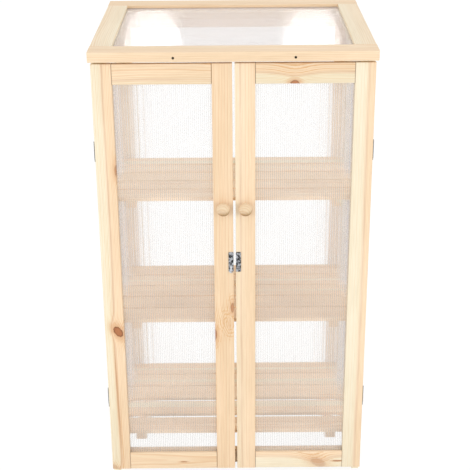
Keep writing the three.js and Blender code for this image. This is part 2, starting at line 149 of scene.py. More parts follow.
class Value:
    """What a node gives out. Numbers and vectors can stand in sums."""

    def __init__(self, graph, socket):
        self.graph = graph
        self.socket = socket

    def work(self, operation, *values):
        is_number = self.socket.type == "VALUE"
        return (self.graph.math if is_number else self.graph.vector)(operation, *values)

    def __add__(self, other):
        return self.work("ADD", self, other)

    def __sub__(self, other):
        return self.work("SUBTRACT", self, other)

    def __rsub__(self, other):
        return self.work("SUBTRACT", other, self)

    def __mul__(self, other):
        return self.work("MULTIPLY", self, other)

    def __truediv__(self, other):
        return self.work("DIVIDE", self, other)

    def __rtruediv__(self, other):
        return self.work("DIVIDE", other, self)

    def __pow__(self, other):
        return self.work("POWER", self, other)

    def __abs__(self):
        return self.work("ABSOLUTE", self)


class Graph:
    """Adds nodes to a node tree and links them as an expression would."""

    def __init__(self, tree):
        self.tree = tree

    def feed(self, socket, value):
        if isinstance(value, Value):
            self.tree.links.new(value.socket, socket)
        else:
            is_colour = socket.type == "RGBA" and len(value) == 3
            socket.default_value = (*value, 1.0) if is_colour else value

    def feed_all(self, node, values):
        for name, value in values.items():
            self.feed(node.inputs[name], value)

    def node(self, kind, values=None, **settings):
        made = self.tree.nodes.new(kind)
        for name, setting in settings.items():
            setattr(made, name, setting)
        self.feed_all(made, values or {})
        return made

    def first(self, node):
        return Value(self, node.outputs[0])

    def outputs(self, kind, values=None, **settings):
        made = self.node(kind, values, **settings)
        return {socket.name: Value(self, socket) for socket in made.outputs}

    def math(self, operation, *values):
        return self.first(self.node("ShaderNodeMath", dict(enumerate(values)), operation=operation))

    def vector(self, operation, *values):
        made = self.outputs("ShaderNodeVectorMath", dict(enumerate(values)), operation=operation)
        return made["Value" if operation in {"DOT_PRODUCT", "LENGTH"} else "Vector"]

    def point(self):
        """Where on the greenhouse a surface point is, wherever its body has moved."""
        return self.outputs("ShaderNodeTexCoord")["Object"]

    def combine(self, x, y, z):
        return self.first(self.node("ShaderNodeCombineXYZ", {"X": x, "Y": y, "Z": z}))

    def split(self, vector):
        return list(self.outputs("ShaderNodeSeparateXYZ", {0: vector}).values())

    def smooth(self, value, low, high, to_low=0.0, to_high=1.0):
        values = {"Value": value, "From Min": low, "From Max": high, "To Min": to_low, "To Max": to_high}
        return self.first(self.node("ShaderNodeMapRange", values, interpolation_type="SMOOTHSTEP"))

    def mix(self, factor, first, second, blend="MIX"):
        values = {0: factor, 6: first, 7: second}
        made = self.node("ShaderNodeMix", values, data_type="RGBA", blend_type=blend)
        return Value(self, made.outputs[2])

    def noise(self, vector, scale=1.0, detail=2.0, roughness=0.5, output="Fac"):
        values = {"Vector": vector, "Scale": scale, "Detail": detail, "Roughness": roughness}
        return self.outputs("ShaderNodeTexNoise", values)[output]

    def chance(self, number, output="Value"):
        """The same random value wherever the number is the same."""
        return self.outputs("ShaderNodeTexWhiteNoise", {"W": number}, noise_dimensions="1D")[output]

    def bump(self, height, strength, distance):
        values = {"Height": height, "Strength": strength, "Distance": distance}
        return self.first(self.node("ShaderNodeBump", values))

    def shader(self, kind, **values):
        return self.first(self.node(kind, values))

    def mix_shaders(self, factor, first, second):
        return self.first(self.node("ShaderNodeMixShader", {0: factor, 1: first, 2: second}))

    def is_ray(self, *kinds):
        """1 for rays of these kinds, 0 for all others."""
        rays = self.outputs("ShaderNodeLightPath")
        chosen = rays[kinds[0]]
        for kind in kinds[1:]:
            chosen = self.math("MAXIMUM", chosen, rays[kind])
        return chosen

    def group(self, name, **values):
        return self.outputs("ShaderNodeGroup", values, node_tree=bpy.data.node_groups[name])


def new_group(name, vectors, numbers, results):
    """A node group; returns its graph, what it is given, and where its results go."""
    tree = bpy.data.node_groups.new(name, "ShaderNodeTree")
    sockets = [(vector, "INPUT", "Vector") for vector in vectors]
    sockets += [(number, "INPUT", "Float") for number in numbers]
    sockets += [(result, "OUTPUT", kind) for result, kind in results.items()]
    for socket_name, direction, kind in sockets:
        tree.interface.new_socket(socket_name, in_out=direction, socket_type="NodeSocket" + kind)
    graph = Graph(tree)
    given = graph.outputs("NodeGroupInput")
    return graph, given, graph.node("NodeGroupOutput")


def new_material(name):
    """A material with one Principled shader; returns it, its graph and the shader's node."""
    material = bpy.data.materials.new(name)
    material.use_nodes = True
    nodes = material.node_tree.nodes
    return material, Graph(material.node_tree), nodes["Principled BSDF"]


def show(material, graph, surface):
    graph.feed(material.node_tree.nodes["Material Output"].inputs["Surface"], surface)


# Pine

PINE_SHINE = 0.18

# How fine each figure of the wood is across, through and along a board, in waves per metre
DRIFT = (3.0, 3.0, 1.6)
WAVER = (90.0, 90.0, 7.0)
PATCHES = (22.0, 22.0, 2.6)
FIBRES = (620.0, 620.0, 16.0)
HEART_LINES = (0.0, 0.0, 5.0)
BROKEN_EDDIES = (70.0, 70.0, 45.0)

# What a board's group takes from its knots: radii to the nearest, push on the rings, darkness
KNOT_SOCKETS = {"Near": "Float", "Push": "Float", "Darkness": "Float"}


def build_board_place():
    """A point of the greenhouse as a place on one board: across, through and along it."""
    graph, given, result = new_group("board_place", ("Centre", "Across", "Along"), (), {"Place": "Vector"})
    offset = graph.point() - given["Centre"]
    through = graph.vector("CROSS_PRODUCT", given["Along"], given["Across"])
    ways = (given["Across"], through, given["Along"])
    place = graph.combine(*(graph.vector("DOT_PRODUCT", offset, way) for way in ways))
    graph.feed_all(result, {"Place": place})


def build_knot():
    """Adds one knot to a board: how far away it is in knot radii, and how it pushes the rings."""
    graph, given, result = new_group(
        "pine_knot", ("Place", "Centre", "Size"), ("Dark", "Lean", *KNOT_SOCKETS), KNOT_SOCKETS
    )
    fineness, raggedness, fall, reach = 210.0, 0.55, -0.22, 1.1
    x, _, z = graph.split(given["Place"] - given["Centre"])
    half_across, _, half_along = graph.split(given["Size"])
    shares = graph.combine((x + z * given["Lean"]) / half_across, 0.0, z / half_along)
    ragged = (graph.noise(given["Place"], fineness) - 0.5) * raggedness
    distance = graph.vector("LENGTH", shares) + ragged
    falling = graph.math("MAXIMUM", distance, 0.0) ** 2.0 * fall
    push = graph.math("EXPONENT", falling) * (half_across * reach)
    is_nearer = graph.math("LESS_THAN", distance, given["Near"])
    graph.feed_all(result, {
        "Near": graph.math("MINIMUM", distance, given["Near"]),
        "Push": given["Push"] + push,
        "Darkness": given["Darkness"] * (1.0 - is_nearer) + given["Dark"] * is_nearer,
    })


def ring_radius(graph, given, seeded):
    """Distance from the pith, which wanders along the board, less what the knots push away."""
    waver_depth = 2.4 * MM
    drift = graph.noise(seeded * DRIFT, roughness=0.45, output="Color") - (0.5, 0.5, 0.5)
    drift = drift * graph.combine(given["Wander"], given["Wander"], 0.0)
    from_pith = (given["Place"] - given["Pith"] + drift) * (1.0, 1.0, 0.0)
    waver = graph.noise(seeded * WAVER) - 0.5
    return graph.vector("LENGTH", from_pith) - given["Push"] + waver * waver_depth


def late_wood(graph, given, seeded, radius, spacing):
    """How much of the dark late wood shows: ring lines, stronger by the knots, and their eddies."""
    rings = radius / spacing + given["Seed"]
    growth = graph.math("FRACT", rings)
    dense = graph.smooth(growth, 0.25, 0.86) * graph.smooth(growth, 0.93, 1.0, 1.0, 0.0)
    figure = graph.smooth(given["Near"], 5.0, 1.2) * 0.6 + given["Figure"]
    grown = graph.chance(graph.math("FLOOR", rings))
    late = dense * figure * graph.smooth(grown, -0.7, 1.0)
    eddies_per_radius = 1.5
    eddy = graph.math("FRACT", given["Near"] * eddies_per_radius)
    eddies = graph.smooth(eddy, 0.35, 0.85) * graph.smooth(eddy, 1.0, 0.9)
    eddies = eddies * graph.smooth(given["Near"], 4.0, 1.5)
    broken = graph.noise(seeded * BROKEN_EDDIES, detail=1.0)
    eddies = eddies * graph.smooth(broken, 0.42, 0.62)
    return graph.math("MAXIMUM", late, eddies * given["Eddy"])


def knotted_wood(graph, given, timber, wood):
    """Wood with a warm halo round each knot, and the knot itself in its dark rim."""
    near, darkness = given["Near"], given["Darkness"]
    halo = graph.smooth(near, 2.6, 0.9) * darkness
    wood = graph.mix(halo * 0.6, wood, timber.heartwood_late)
    wood = graph.mix(halo * 0.3, wood, timber.knot)
    faint = 1.0 - darkness
    core = graph.smooth(near, faint * 0.3 + 1.06, faint * -0.5 + 0.9)
    rim = core * graph.smooth(near, 0.55, 0.98)
    rings_per_radius = 3.3
    rings = graph.math("FRACT", near * rings_per_radius)
    knot_wood = graph.mix(rings * 0.35, timber.knot, timber.knot_rim)
    knot_wood = graph.mix(rim * 0.85, knot_wood, timber.knot_rim)
    return graph.mix(core * darkness, wood, knot_wood)


def build_pine(timber):
    """Year rings round a pith, pale and warm wood, fibres and knots, for one board."""
    graph, given, result = new_group(
        "pine",
        ("Place", "Pith"),
        ("Heart", "Seed", "Tone", "Wander", "Figure", "Rim", "Soft", "Eddy", "Shown", *KNOT_SOCKETS),
        {"Color": "Color", "Roughness": "Float", "Normal": "Vector"},
    )
    heart_rim, joint_dark, joint_pale, relief = 4.5 * MM, 0.4 * MM, 1.8 * MM, 0.25 * MM
    seeded = given["Place"] + graph.combine(given["Seed"], given["Seed"], given["Seed"])
    radius = ring_radius(graph, given, seeded)
    late = late_wood(graph, given, seeded, radius, timber.ring_spacing)

    # Warm heartwood inside, with a line in places where it meets the pale sapwood
    beyond_heart = radius - given["Heart"]
    is_heart = graph.smooth(beyond_heart, given["Soft"] * 1.25, given["Soft"] * -0.75)
    early_colour = graph.mix(is_heart, timber.sapwood, timber.heartwood)
    late_colour = graph.mix(is_heart, timber.sapwood_late, timber.heartwood_late)
    wood = graph.mix(late, early_colour, late_colour)
    in_places = graph.noise(seeded * HEART_LINES)
    line = graph.smooth(abs(beyond_heart), heart_rim, 0.0)
    line = line * graph.math("MAXIMUM", given["Rim"] - in_places * 0.6, 0.0)
    wood = graph.mix(line, wood, timber.knot)

    # Patches and fibres, which turn warmer where they are darker
    patch = graph.noise(seeded * PATCHES, detail=3.0, roughness=0.55)
    fibre = graph.noise(seeded * FIBRES, roughness=0.6)
    value = graph.smooth(patch, 0.3, 0.7, -0.035, 0.025) + graph.smooth(fibre, 0.3, 0.7, -0.045, 0.03)
    value = value + 1.0 + given["Tone"]
    wood = graph.mix(1.0, wood, graph.combine(value, value ** 1.25, value ** 1.7), "MULTIPLY")
    wood = knotted_wood(graph, given, timber, wood)

    # The joint where a rail's end meets its stile
    from_joint = given["Shown"] - abs(graph.split(given["Place"])[2])
    wood = graph.mix(graph.smooth(from_joint, joint_pale, joint_dark) * 0.7, wood, timber.knot_rim)
    rough = graph.smooth(fibre, 0.3, 0.7, -0.06, 0.06) + timber.roughness
    graph.feed_all(result, {
        "Color": wood,
        "Roughness": rough - late * 0.08,
        "Normal": graph.bump(fibre * 0.6 + late * 0.35, 0.22, relief),
    })


def build_trees(timber):
    """Makes the node groups that all pine shares, unless they are there."""
    if not bpy.data.node_groups.get("pine"):
        build_board_place()
        build_knot()
        build_pine(timber)


class Knot(NamedTuple):
    """A knot in a door: its place right of the middle and above the floor, its half sizes and looks."""

    right: float
    up: float
    half_across: float
    half_along: float
    dark: float = 1.0
    lean: float = 0.0


class BoardLook(NamedTuple):
    """How one board was cut from its log, in millimetres: its pith, its warm wood and its knots."""

    pith: tuple
    heart: float
    seed: float
    tone: float = 0.0
    wander: float = 26.0
    figure: float = 0.65
    rim: float = 0.5
    soft: float = 4.0
    eddy: float = 0.0
    knots: tuple = ()


BOARD_LOOKS = {
    "left_door_outer_stile": BoardLook(
        pith=(46, -16), heart=44, seed=1.3, wander=10, rim=0.6, soft=7, knots=(
            Knot(-293, 884, 6, 17, 0.6),
            Knot(-310, 441, 11.5, 15.5, 0.95, 0.35),
            Knot(-320, 230, 2.2, 150, 0.35, 0.02),
            Knot(-338, 20, 9, 12, 0.35, 0.4),
        )),
    "left_door_meeting_stile": BoardLook(
        pith=(-44, -22), heart=92, seed=4.1, tone=-0.012, wander=16, figure=0.85, eddy=1.5, knots=(
            Knot(-7, 508, 5, 14, 0.65),
            Knot(-18, 462, 11, 15, 0.05, 0.2),
            Knot(-55, 431, 7, 17, 0.85),
        )),
    "left_door_top_rail": BoardLook(
        pith=(30, 42), heart=60, seed=7.2, tone=-0.035, wander=30, figure=0.75, soft=20),
    "left_door_bottom_rail": BoardLook(
        pith=(4, 38), heart=300, seed=9.4, tone=-0.01, wander=30, figure=0.6, knots=(
            Knot(-146, 38.7, 1.4, 9, 0.9),
        )),
    "right_door_outer_stile": BoardLook(
        pith=(52, -16), heart=43, seed=2.7, tone=0.01, wander=9, figure=0.5, soft=9),
    "right_door_meeting_stile": BoardLook(
        pith=(50, -20), heart=62, seed=5.9, tone=0.01, wander=10, figure=0.6, soft=28),
    "right_door_top_rail": BoardLook(
        pith=(42, 34), heart=46, seed=8.8, tone=-0.055, wander=10, figure=0.85, soft=6, knots=(
            Knot(150, 1132, 8, 22, 0.0),
            Knot(149, 1102, 8, 11, 0.85),
        )),
    "right_door_bottom_rail": BoardLook(
        pith=(34, 28), heart=30, seed=10.6, tone=0.05, wander=20, figure=0.5, soft=9, knots=(
            Knot(228.5, 33.5, 14, 22, 0.38, 0.35),
            Knot(281, 38, 1.7, 13, 0.95),
        )),
    "lid_front_rail": BoardLook(pith=(10, 60), heart=88, seed=11.5, wander=30, figure=0.5, soft=30),
    "lid_left_stile": BoardLook(pith=(-40, 30), heart=38, seed=12.1, tone=0.005, soft=50),
    "lid_right_stile": BoardLook(pith=(50, 30), heart=44, seed=13.4, tone=-0.005, soft=50),
    # Painted light: the front bottom rail and the front legs are made paler to make up for the shade they
    # stand in behind the doors
    "front_bottom_rail": BoardLook(pith=(40, 40), heart=90, seed=14.2, tone=0.1, figure=0.4),
    "left_front_leg": BoardLook(pith=(60, 40), heart=30, seed=15.7, tone=0.08, figure=0.5),
    "right_front_leg": BoardLook(pith=(55, 45), heart=30, seed=16.3, tone=0.08, figure=0.5),
}
BOARD_ENDINGS = ("stile", "rail", "leg", "cleat")


def random_look(rng):
    """The cut of a board that the photograph doesn't show closely."""
    pith = (rng.uniform(-45, 45), rng.choice((-1, 1)) * rng.uniform(24, 60))
    return BoardLook(pith, rng.uniform(30, 75), rng.uniform(20, 90), rng.uniform(-0.03, 0.02))


def board_axes(node):
    """The directions along and across a board."""
    if node.startswith("lid_"):
        return (UPHILL, RIGHT) if node.endswith("stile") else (RIGHT, UPHILL)
    if node.endswith("cleat"):
        return BACK, RIGHT
    if node in {"left_bottom_rail", "right_bottom_rail"}:
        return BACK, UP
    if node in {"left_top_rail", "right_top_rail"}:
        return UPHILL, UP
    if node.endswith("leg"):
        return UP, BACK
    return (UP, RIGHT) if node.endswith("stile") else (RIGHT, UP)


def shown_half(node):
    """Half the length of a door rail between its stiles, or FAR for a board that shows whole."""
    side = node.split("_")[0]
    if node not in {f"{side}_door_top_rail", f"{side}_door_bottom_rail"}:
        return FAR
    edges = []
    for stile in ("outer", "meeting"):
        edges += [corner.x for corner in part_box(f"{side}_door_{stile}_stile")]
    _, first, second, _ = sorted(edges)
    return (second - first) / 2


def finish_pine(graph, shader, pine):
    graph.feed_all(shader, {
        "Base Color": pine["Color"],
        "Roughness": pine["Roughness"],
        "Normal": pine["Normal"],
        "Specular IOR Level": PINE_SHINE,
    })


def pine_material(node, look, across, along, shown=FAR):
    """Pine for one board, with its own pith and knots; shown is half the length in sight."""
    material, graph, shader = new_material("pine_" + node)
    centre = centre_of(node)
    place = graph.group("board_place", Centre=centre, Across=across, Along=along)["Place"]
    knotted = {"Near": FAR, "Push": 0.0, "Darkness": 0.0}
    for knot in look.knots:
        offset = Vector((knot.right, 0, knot.up)) * MM - centre
        spot = Vector((offset.dot(across), 0, offset.dot(along)))
        size = Vector((knot.half_across, 1, knot.half_along)) * MM
        knotted = graph.group(
            "pine_knot", Place=place, Centre=spot, Size=size, Dark=knot.dark, Lean=knot.lean, **knotted
        )
    pine = graph.group(
        "pine", Place=place, Pith=Vector((*look.pith, 0)) * MM, Heart=look.heart * MM,
        Seed=look.seed, Tone=look.tone, Wander=look.wander * MM, Figure=look.figure, Rim=look.rim,
        Soft=look.soft * MM, Eddy=look.eddy, Shown=shown, **knotted,
    )
    finish_pine(graph, shader, pine)
    return material


def paint_knob_underside_shade(material, tone):
    """Painted shade: a knob turns darker where its surface faces down, standing in for the shade on its
    underside.
    """
    lowest, painted_shade_depth = (0.25, 0.0, -0.97), 0.5
    graph = Graph(material.node_tree)
    pine = next(node for node in material.node_tree.nodes if "Tone" in node.inputs)
    normal = graph.outputs("ShaderNodeTexCoord")["Normal"]
    downward = graph.vector("DOT_PRODUCT", normal, lowest)
    graph.feed_all(pine, {"Tone": graph.smooth(downward, 0.0, 0.9, tone, tone - painted_shade_depth)})


def give(node, material):
    """Gives a CAD node its material."""
    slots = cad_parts[node].data.materials
    slots.clear()
    slots.append(material)


def centre_of(node):
    low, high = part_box(node)
    return (low + high) / 2


# Shelves

SLAT_THICKNESS = 10 * MM
BATTEN_FROM_MIDDLE = 267 * MM

# How light the wood of each shelf is: painted shade and light that even out how much light reaches each
# level, the middle and upper shelves darker
SHELF_TONES = {"lower_shelf": 0.01, "middle_shelf": -0.06, "upper_shelf": -0.04}


def slat_bands(node):
    """The front and the rear of each slat of a shelf, from the front backwards."""
    vertices = [v.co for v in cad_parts[node].data.vertices]
    top = max(v.z for v in vertices)
    edges = []
    for y in sorted(v.y for v in vertices if v.z > top - MM):
        if not edges or y > edges[-1] + MM:
            edges.append(y)
    return list(zip(edges[::2], edges[1::2]))


def slat_at(graph, node, y):
    """The number of the slat at a depth, and the depth of that slat's middle."""
    bands = slat_bands(node)
    slat, slat_y = 0.0, sum(bands[0]) / 2
    for nearer, farther in zip(bands, bands[1:]):
        is_past = graph.math("GREATER_THAN", y, (nearer[1] + farther[0]) / 2)
        slat = is_past + slat
        slat_y = is_past * ((sum(farther) - sum(nearer)) / 2) + slat_y
    return slat, slat_y


def shelf_material(node, seed, tone):
    """Pine for a shelf: each slat and each batten is its own board."""
    material, graph, shader = new_material("pine_" + node)
    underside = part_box(node)[1].z - SLAT_THICKNESS
    x, y, z = graph.split(graph.point())
    slat, slat_y = slat_at(graph, node, y)
    is_batten = graph.math("LESS_THAN", z, underside)
    is_slat = 1.0 - is_batten
    side = graph.math("GREATER_THAN", x, 0.0)
    first_batten = 7.0
    board = slat * is_slat + (side + first_batten) * is_batten
    luck = graph.split(graph.chance(board + seed, "Color"))
    batten_x = (side - 0.5) * (2 * BATTEN_FROM_MIDDLE)
    centre = graph.combine(batten_x * is_batten, slat_y * is_slat, underside)
    across = graph.combine(is_batten, is_slat, 0.0)
    along = graph.combine(is_slat, is_batten, 0.0)
    place = graph.group("board_place", Centre=centre, Across=across, Along=along)["Place"]
    pith_spread, pith_depth, depth_spread = 90 * MM, 22 * MM, 30 * MM
    heart, heart_spread, seed_spread, tone_spread = 40 * MM, 60 * MM, 40.0, 0.06
    pith = graph.combine((luck[0] - 0.5) * pith_spread, luck[1] * depth_spread + pith_depth, 0.0)
    pine = graph.group(
        "pine", Place=place, Pith=pith, Heart=luck[2] * heart_spread + heart,
        Seed=luck[1] * seed_spread + seed, Tone=luck[2] * tone_spread + tone, Wander=30 * MM,
        Figure=0.8, Soft=4 * MM, Near=FAR, Shown=FAR,
    )
    finish_pine(graph, shader, pine)
    return material


# Meshes

def new_object(name, data):
    made = bpy.data.objects.new(name, data)
    bpy.context.scene.collection.objects.link(made)
    return made


def new_piece(name, mesh, material, body):
    """A mesh as a piece of the greenhouse that rides on a body."""
    piece = new_object(name, mesh)
    mesh.materials.append(material)
    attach(piece, body)
    return piece


def mesh_from(name, vertices, faces, smooth=False):
    mesh = bpy.data.meshes.new(name)
    mesh.from_pydata([tuple(v) for v in vertices], [], faces)
    if smooth:
        mesh.shade_smooth()
    mesh.update()
    return mesh


def extent(node, direction):
    """How far a node reaches along a direction."""
    reach = [v.co.dot(direction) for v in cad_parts[node].data.vertices]
    return min(reach), max(reach)


# Sheets

# Each sheet's body, the ways across, through and along its flutes, and how much of its haze
# takes its light from behind
SHEETS = {
    "left_door_sheet": ("left_door", RIGHT, BACK, UP, 0.0),
    "right_door_sheet": ("right_door", RIGHT, BACK, UP, 0.0),
    "left_sheet": ("cabinet", BACK, RIGHT, UP, 0.8),
    "right_sheet": ("cabinet", BACK, RIGHT, UP, 0.95),
    "back_sheet": ("cabinet", RIGHT, BACK, UP, 0.8),
    "lid_sheet": ("lid", UPHILL, RIGHT.cross(UPHILL), RIGHT, 0.1),
}
PLASTIC_IOR = 1.49


def end_heights(node, across, along):
    """Where a sheet ends along its flutes, at its foot and at the top of its two edges."""
    vertices = [v.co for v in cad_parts[node].data.vertices]
    edge_share = 0.05
    low, high = extent(node, across)
    near = edge_share * (high - low)
    start, _ = extent(node, along)
    at_low = max(v.dot(along) for v in vertices if v.dot(across) < low + near)
    at_high = max(v.dot(along) for v in vertices if v.dot(across) > high - near)
    return start, at_low, at_high


def twin_wall_mesh(name, node, across, through, along, sheet):
    """Two walls joined by ribs, its flutes open at both ends, in the space of a CAD sheet."""
    left, right = extent(node, across)
    front, rear = extent(node, through)
    foot, top_left, top_right = end_heights(node, across, along)
    count = int((right - left - sheet.rib) / sheet.pitch)
    margin = (right - left - count * sheet.pitch + sheet.rib) / 2
    columns = [left]
    for index in range(count):
        flute = left + margin + index * sheet.pitch
        columns += [flute, flute + sheet.pitch - sheet.rib]
    columns.append(right)
    rows = [front, front + sheet.wall, rear - sheet.wall, rear]
    vertices, faces = [], []
    for is_top in (False, True):
        for column in columns:
            share = (column - left) / (right - left)
            end = top_left + (top_right - top_left) * share if is_top else foot
            vertices += [across * column + through * row + along * end for row in rows]

    def at(column, row, top):
        return (top * len(columns) + column) * len(rows) + row

    def add_wall(first, second):
        """A face along the sheet, between two corners of its section."""
        faces.append([at(*first, 0), at(*second, 0), at(*second, 1), at(*first, 1)])

    def add_ends(column, row):
        """A face of the section at each end of the sheet."""
        corners = ((column, row), (column, row + 1), (column + 1, row + 1), (column + 1, row))
        for top in (0, 1):
            faces.append([at(*corner, top) for corner in corners])

    last = len(columns) - 1
    for column in range(last):
        is_flute = column % 2 == 1
        for row in (0, 1, 2, 3) if is_flute else (0, 3):
            add_wall((column, row), (column + 1, row))
        for row in (0, 2) if is_flute else (0, 1, 2):
            add_ends(column, row)
    for column in range(len(columns)):
        for row in (0, 1, 2) if column in (0, last) else (1,):
            add_wall((column, row), (column, row + 1))
    mesh = mesh_from(name, vertices, faces)
    made = bmesh.new()
    made.from_mesh(mesh)
    bmesh.ops.recalc_face_normals(made, faces=made.faces)
    made.to_mesh(mesh)
    made.free()
    return mesh, left + margin


def rib_pattern(graph, point, across, first_flute, sheet):
    """1 over a rib, falling to 0 between ribs; and the same with each rib its own strength."""
    cells = (graph.vector("DOT_PRODUCT", point, across) - first_flute) / sheet.pitch
    rib_share = sheet.rib / sheet.pitch
    from_rib = abs(graph.math("FRACT", cells) - (1 - rib_share / 2))
    from_rib = graph.math("MINIMUM", from_rib, 1.0 - from_rib)
    on_rib = graph.smooth(from_rib, rib_share * 1.6, rib_share * 0.6)
    strength = graph.chance(graph.math("FLOOR", cells)) * 0.5 + 0.75
    return on_rib, on_rib * strength


def view_through(graph, point, across, through, edge_on, sheet):
    """Clear plastic, wavy across its flutes, which smears sideways what is far behind it."""
    waves_per_metre = 3000
    stretch = [abs(way) * waves_per_metre for way in across + through]
    lean = (graph.noise(point * stretch, detail=1.0) - 0.5) * sheet.waver
    leaned = graph.outputs("ShaderNodeVectorMath", {0: across, "Scale": lean}, operation="SCALE")["Vector"]
    normal = graph.outputs("ShaderNodeNewGeometry")["Normal"]
    bent = graph.shader(
        "ShaderNodeBsdfRefraction", Color=WHITE, Roughness=0.0, IOR=PLASTIC_IOR,
        Normal=graph.vector("NORMALIZE", normal + leaned),
    )
    straight = graph.shader("ShaderNodeBsdfTransparent")
    looked_through = graph.is_ray("Is Camera Ray", "Is Transmission Ray")
    square_on = graph.smooth(edge_on, 0.6, 0.4)
    return graph.mix_shaders(looked_through * square_on, straight, bent)


def sheet_material(node, sheet, across, through, first_flute, hazes, forward):
    """Hazy clear plastic, denser over its ribs and seen edge on, that blurs what is behind it."""
    clouds, unevenness, least_square_on, lamp_share, relief = 9.0, 0.3, 0.06, 0.8, 0.1 * MM
    material, graph, shader = new_material("plastic_" + node)
    point = graph.point()
    on_rib, rib = rib_pattern(graph, point, across, first_flute, sheet)
    cloud = graph.noise(point, clouds)
    plain_haze, rib_haze = hazes
    haze = (cloud - 0.5) * (unevenness * plain_haze) + plain_haze
    haze = rib * (rib_haze - plain_haze) + haze

    # A slanting look has a longer way through the plastic
    edge_on = graph.outputs("ShaderNodeLayerWeight", {"Blend": 0.5})["Facing"]
    squareness = graph.math("MAXIMUM", 1.0 - edge_on, least_square_on)
    cover = 1.0 - (1.0 - haze) ** (1.0 / squareness)
    tint = graph.mix(cloud, sheet.colour, [c * 0.98 for c in sheet.colour])
    tint = graph.mix(graph.smooth(edge_on, 0.35, 0.9), tint, sheet.edge_colour)
    graph.feed_all(shader, {
        "Base Color": tint,
        "Roughness": graph.smooth(cloud, 0.2, 0.8, 0.03, 0.05),
        "IOR": PLASTIC_IOR,
        "Normal": graph.bump(on_rib, 0.15, relief),
    })
    passed_on = graph.shader("ShaderNodeBsdfTranslucent", Color=tint)
    scattered = graph.mix_shaders(forward, graph.first(shader), passed_on)
    seen_through = view_through(graph, point, across, through, edge_on, sheet)

    # Most of the haze lets light from a lamp through
    held = cover * (graph.is_ray("Is Shadow Ray") * -lamp_share + 1.0)
    show(material, graph, graph.mix_shaders(held, seen_through, scattered))
    return material


# Knobs

def turned_knob(name, node, facets):
    """A round knob with a short neck and a foot ring, turned about a line towards the front."""
    low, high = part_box(node)
    middle = (low + high) / 2
    radius = (high.x - low.x) / 2
    spigot_radius, spigot = 5 * MM, 10 * MM
    foot_radius, neck_radius, neck_end = 10.5 * MM, 8 * MM, 7 * MM
    play, round_steps = 0.3 * MM, 20
    face = high.y - spigot

    # Each point: how far out from the line, and how far behind the door's face
    profile = [
        (0, spigot),
        (spigot_radius, spigot),
        (spigot_radius, -play),
        (foot_radius, -play),
        (foot_radius + 0.4 * MM, -1.2 * MM),
        (foot_radius - 0.5 * MM, -2.2 * MM),
        (neck_radius, -3.2 * MM),
        (neck_radius - 0.2 * MM, -5 * MM),
    ]
    start = math.asin(neck_radius / radius)
    flatten = (face - low.y - neck_end) / (radius * (1 + math.cos(start)))
    for step in range(round_steps + 1):
        angle = start + (math.pi - start) * step / round_steps
        rise = radius * (math.cos(start) - math.cos(angle)) * flatten
        profile.append((0 if step == round_steps else radius * math.sin(angle), -neck_end - rise))
    vertices, faces, rings = [], [], []
    for reach, depth in profile:
        centre = Vector((middle.x, face + depth, middle.z))
        if reach == 0:
            rings.append([len(vertices)] * facets)
            vertices.append(centre)
            continue
        rings.append(list(range(len(vertices), len(vertices) + facets)))
        angles = [math.tau * index / facets for index in range(facets)]
        vertices += [centre + (RIGHT * math.cos(a) + UP * math.sin(a)) * reach for a in angles]
    for first, second in zip(rings, rings[1:]):
        for index in range(facets):
            after = (index + 1) % facets
            corners = dict.fromkeys((first[index], first[after], second[after], second[index]))
            faces.append(list(corners))
    return mesh_from(name, vertices, faces, smooth=True)


# Fittings

HINGE_LEAF = 1.2 * MM
HINGE_SCREW_SHIFTS = (-16 * MM, 0.0, 16 * MM)
LATCH_PLATE = 1.5 * MM
LATCH_SCREW_SHIFTS = (-21 * MM, 21 * MM)
LID_SCREW_PLACES = (-144.4 * MM, 149.6 * MM)
LID_SCREW_RISE = 0.41
FRAME_SCREW_PLACES = (-335 * MM, 335 * MM)
FRAME_SCREW_HEIGHTS = (60 * MM, 610 * MM, 1150 * MM)


def metal_material(name, colour, roughness, wear_and_reflection):
    """Plated metal, mottled dull and bright: wear, and where the blotches are strong, as on the latch
    zinc, painted reflections.
    """
    material, graph, shader = new_material(name)
    blotches, scratches, relief = 120.0, (900.0, 900.0, 120.0), 0.08 * MM
    point = graph.point()
    blotch = graph.noise(point, blotches, 3.0, 0.65)
    scratch = graph.noise(point * scratches)
    # The dull and bright blotches are wear; where they are strong they are painted reflections of the
    # surroundings
    dull = [c * (1 - wear_and_reflection) for c in colour]
    bright = [min(1.0, c * (1 + wear_and_reflection)) for c in colour]
    rough = graph.smooth(blotch, 0.3, 0.7, -0.08, 0.1) + roughness
    graph.feed_all(shader, {
        "Base Color": graph.mix(graph.smooth(blotch, 0.44, 0.58), dull, bright),
        "Roughness": rough + graph.smooth(scratch, 0.4, 0.8, 0.0, 0.06),
        "Metallic": 1.0,
        "Normal": graph.bump(blotch + scratch * 0.4, 0.3, relief),
    })
    return material


